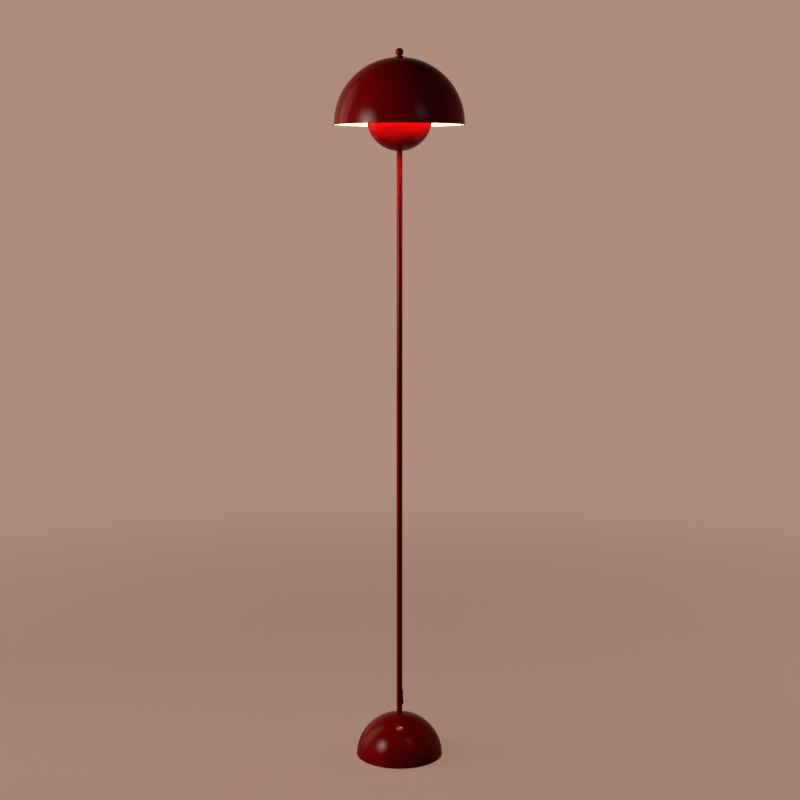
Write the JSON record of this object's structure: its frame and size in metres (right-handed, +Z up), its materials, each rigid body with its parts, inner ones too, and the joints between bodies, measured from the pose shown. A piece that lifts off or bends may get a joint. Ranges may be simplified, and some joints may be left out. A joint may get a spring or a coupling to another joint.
{
  "type": "floor lamp",
  "caption": "Mushroom floor lamp: a lacquered dome shade over a small upturned bowl, on a slim straight stem with a rocker switch and a weighted dome base.",
  "frame": {"origin": "centre of the base on the floor, on the stem's axis", "axes": "+Z up along the stem, -Y towards the front, +Y towards the back, where the mains lead goes in"},
  "size_m": [0.23, 0.23, 1.283],
  "materials": {
    "pad_rubber": "matt foam rubber",
    "black_steel": "black powder coat",
    "zinc_steel": "zinc plated steel",
    "grey_iron": "raw sand cast iron",
    "red_lacquer": "deep red gloss lacquer on spun steel",
    "bush_rubber": "moulded rubber",
    "white_plastic": "moulded thermoplastic",
    "brass": "turned brass",
    "lead_sheath": "white sheathed flexible lead",
    "black_plastic": "moulded gloss plastic",
    "white_lacquer": "white satin lacquer",
    "ceramic": "unglazed steatite",
    "frosted_glass": "frosted glass, lit from inside",
    "cap_metal": "rolled aluminium"
  },
  "bodies": {
    "stand": {"floor_pad": "pad_rubber", "base_plate": "black_steel", "plate_screws": "zinc_steel", "base_weight": "grey_iron", "base_dome": "red_lacquer", "cord_bush": "bush_rubber", "cord_clamp": "white_plastic", "clamp_screws": "zinc_steel", "terminal_block": "white_plastic", "terminal_screws": "brass", "foot_nipple": "brass", "foot_washer": "zinc_steel", "foot_nut": "zinc_steel", "stem_tube": "red_lacquer", "inner_lead": "lead_sheath", "switch_housing": "black_plastic", "rocker_pin": "zinc_steel", "switch_contact": "brass", "bowl_nipple": "brass", "bowl": "red_lacquer", "bowl_washer": "zinc_steel", "bowl_nut": "zinc_steel", "harp": "white_lacquer", "shade_stud": "zinc_steel", "stud_nut": "zinc_steel", "shade_washer": "white_plastic", "holder_cap": "white_plastic", "holder_core": "ceramic", "holder_skirt": "white_plastic", "thread_shell": "brass", "centre_contact": "brass"},
    "rocker": {"switch_rocker": "black_plastic"},
    "bulb": {"bulb_glass": "frosted_glass", "bulb_cap": "cap_metal", "bulb_insulator": "black_plastic", "bulb_contact": "brass"},
    "shade": {"shade": "red_lacquer"},
    "finial": {"finial": "red_lacquer"}
  },
  "joints": [
    {"name": "rocker_tip", "type": "hinge", "parent": "stand", "child": "rocker", "pos_m": [0.00302, 0.00386, 0.10829], "axis": [-0.788, 0.6157, 0], "range_deg": [0, 14]},
    {"name": "bulb_turn", "type": "hinge", "parent": "stand", "child": "bulb", "pos_m": [0, 0, 1.159], "axis": [0, 0, 1], "continuous": true},
    {"name": "shade_lift", "type": "slide", "parent": "stand", "child": "shade", "axis": [0, 0, 1], "range_m": [0, 0.14]},
    {"name": "finial_turn", "type": "hinge", "parent": "shade", "child": "finial", "pos_m": [0, 0, 1.271], "axis": [0, 0, 1], "continuous": true}
  ]
}
